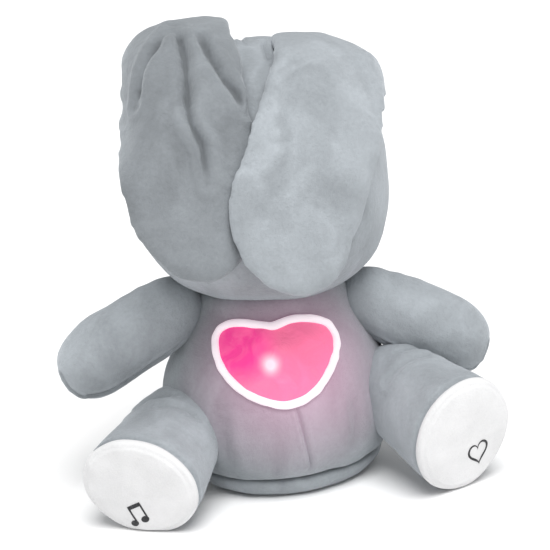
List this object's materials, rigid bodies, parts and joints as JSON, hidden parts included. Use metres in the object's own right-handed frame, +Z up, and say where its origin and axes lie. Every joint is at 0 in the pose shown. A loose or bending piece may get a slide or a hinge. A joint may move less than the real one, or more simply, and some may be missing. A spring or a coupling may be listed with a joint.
{
  "type": "interactive plush pet",
  "caption": "Seated plush bunny whose motor lifts its long ears off its face, with a glowing heart in the belly and a press switch in each foot.",
  "frame": {"origin": "centre of the flat base, on the surface the toy sits on", "axes": "+Z up, the face and the soles point to -Y, +X is on the right of someone facing the toy"},
  "size_m": [0.2634, 0.1775, 0.2736],
  "materials": {
    "grey_plush": "short soft pile, mottled nap",
    "polyester_fill": "loose white fibre",
    "white_velour": "short white velour",
    "heart_fabric": "thin pink satin lit from behind",
    "white_plastic": "fine moulded texture",
    "grey_plastic": "fine moulded texture",
    "gear_plastic": "smooth natural acetal",
    "black_gloss": "polished",
    "thread": "satin-stitched thread",
    "steel": "plain zinc-plated",
    "cell_jacket": "printed cell jacket without lettering",
    "circuit_board": "solder mask",
    "chip_black": "moulded package",
    "led_clear": "clear dome",
    "cone_paper": "pressed cone",
    "wire_cover": "smooth insulation"
  },
  "bodies": {
    "body": {"torso_skin": "grey_plush", "torso_stuffing": "polyester_fill", "base_panel": "grey_plush", "heart_lens": "heart_fabric", "heart_rim": "white_velour", "light_cup": "white_plastic", "light_board": "circuit_board", "light_leds": "led_clear", "sound_box": "grey_plastic", "sound_box_cover": "grey_plastic", "batteries": "cell_jacket", "battery_contacts": "steel", "main_board": "circuit_board", "board_parts": "chip_black", "speaker_frame": "steel", "speaker_cone": "cone_paper", "box_screws": "steel", "wiring_loom": "wire_cover", "neck_post": "white_plastic", "head_skin": "grey_plush", "head_stuffing": "polyester_fill", "eyes": "black_gloss", "eye_washers": "gear_plastic", "face_stitching": "thread", "gearbox_case": "white_plastic", "gearbox_lid": "white_plastic", "gearbox_screws": "steel", "motor": "steel", "gearhead": "steel", "gear_axle": "steel"},
    "door": {"battery_door": "grey_plastic", "door_screw": "steel"},
    "switch_knob": {"power_switch": "grey_plastic"},
    "drive": {"drive_pinion": "gear_plastic"},
    "lay": {"lay_gear": "gear_plastic"},
    "left_ear": {"ear_left": "grey_plush", "ear_paddle_left": "white_plastic", "ear_gear_left": "gear_plastic"},
    "left_arm": {"arm_left_skin": "grey_plush", "arm_left_stuffing": "polyester_fill"},
    "left_leg": {"leg_left_skin": "grey_plush", "leg_left_stuffing": "polyester_fill", "foot_left_sole": "white_velour", "foot_left_switch": "white_plastic", "foot_left_spring": "steel", "leg_left_lead": "wire_cover"},
    "left_foot_button": {"foot_left_button": "gear_plastic"},
    "right_ear": {"ear_right": "grey_plush", "ear_paddle_right": "white_plastic", "ear_gear_right": "gear_plastic"},
    "right_arm": {"arm_right_skin": "grey_plush", "arm_right_stuffing": "polyester_fill"},
    "right_leg": {"leg_right_skin": "grey_plush", "leg_right_stuffing": "polyester_fill", "foot_right_sole": "white_velour", "foot_right_switch": "white_plastic", "foot_right_spring": "steel", "leg_right_lead": "wire_cover"},
    "right_foot_button": {"foot_right_button": "gear_plastic"}
  },
  "joints": [
    {"name": "left_ear_swing", "type": "hinge", "parent": "body", "child": "left_ear", "pos_m": [0, -0.01, 0.244], "axis": [-1, 0, 0], "range_deg": [0, 95]},
    {"name": "right_ear_swing", "type": "hinge", "parent": "body", "child": "right_ear", "pos_m": [0, -0.01, 0.244], "axis": [-1, 0, 0], "range_deg": [0, 95]},
    {"name": "lay_gear_spin", "type": "hinge", "parent": "body", "child": "lay", "pos_m": [0, -0.01, 0.23275], "axis": [-1, 0, 0], "range_deg": [-130, 2]},
    {"name": "drive_spin", "type": "hinge", "parent": "body", "child": "drive", "pos_m": [0, 0.00004, 0.22236], "axis": [-1, 0, 0], "range_deg": [-2, 384]},
    {"name": "left_shoulder", "type": "hinge", "parent": "body", "child": "left_arm", "pos_m": [-0.06, -0.006, 0.106], "axis": [0, 1, 0], "range_deg": [0, 50], "stiffness_Nm_per_rad": 0.3},
    {"name": "left_hip", "type": "hinge", "parent": "body", "child": "left_leg", "pos_m": [-0.06569, -0.02348, 0.04713], "axis": [-0.891, 0.454, 0], "range_deg": [0, 16], "stiffness_Nm_per_rad": 0.6},
    {"name": "left_foot_press", "type": "slide", "parent": "left_leg", "child": "left_foot_button", "axis": [0.4441, 0.8715, 0.2079], "range_m": [0, 0.0025], "stiffness_N_per_m": 300, "deforming": ["foot_left_spring"]},
    {"name": "right_shoulder", "type": "hinge", "parent": "body", "child": "right_arm", "pos_m": [0.06, -0.006, 0.106], "axis": [0, -1, 0], "range_deg": [0, 50], "stiffness_Nm_per_rad": 0.3},
    {"name": "right_hip", "type": "hinge", "parent": "body", "child": "right_leg", "pos_m": [0.06569, -0.02348, 0.04713], "axis": [-0.891, -0.454, 0], "range_deg": [0, 16], "stiffness_Nm_per_rad": 0.6},
    {"name": "right_foot_press", "type": "slide", "parent": "right_leg", "child": "right_foot_button", "axis": [-0.4441, 0.8715, 0.2079], "range_m": [0, 0.0025], "stiffness_N_per_m": 300, "deforming": ["foot_right_spring"]},
    {"name": "battery_door_hinge", "type": "hinge", "parent": "body", "child": "door", "pos_m": [0, 0.0569, 0.0182], "axis": [-1, 0, 0], "range_deg": [0, 95]},
    {"name": "power_switch_slide", "type": "slide", "parent": "body", "child": "switch_knob", "axis": [1, 0, 0], "range_m": [0, 0.004]}
  ],
  "couplings": [
    {"joint": "right_ear_swing", "follows": "left_ear_swing", "ratio": 1},
    {"joint": "lay_gear_spin", "follows": "left_ear_swing", "ratio": -1.3333},
    {"joint": "drive_spin", "follows": "left_ear_swing", "ratio": 4}
  ]
}
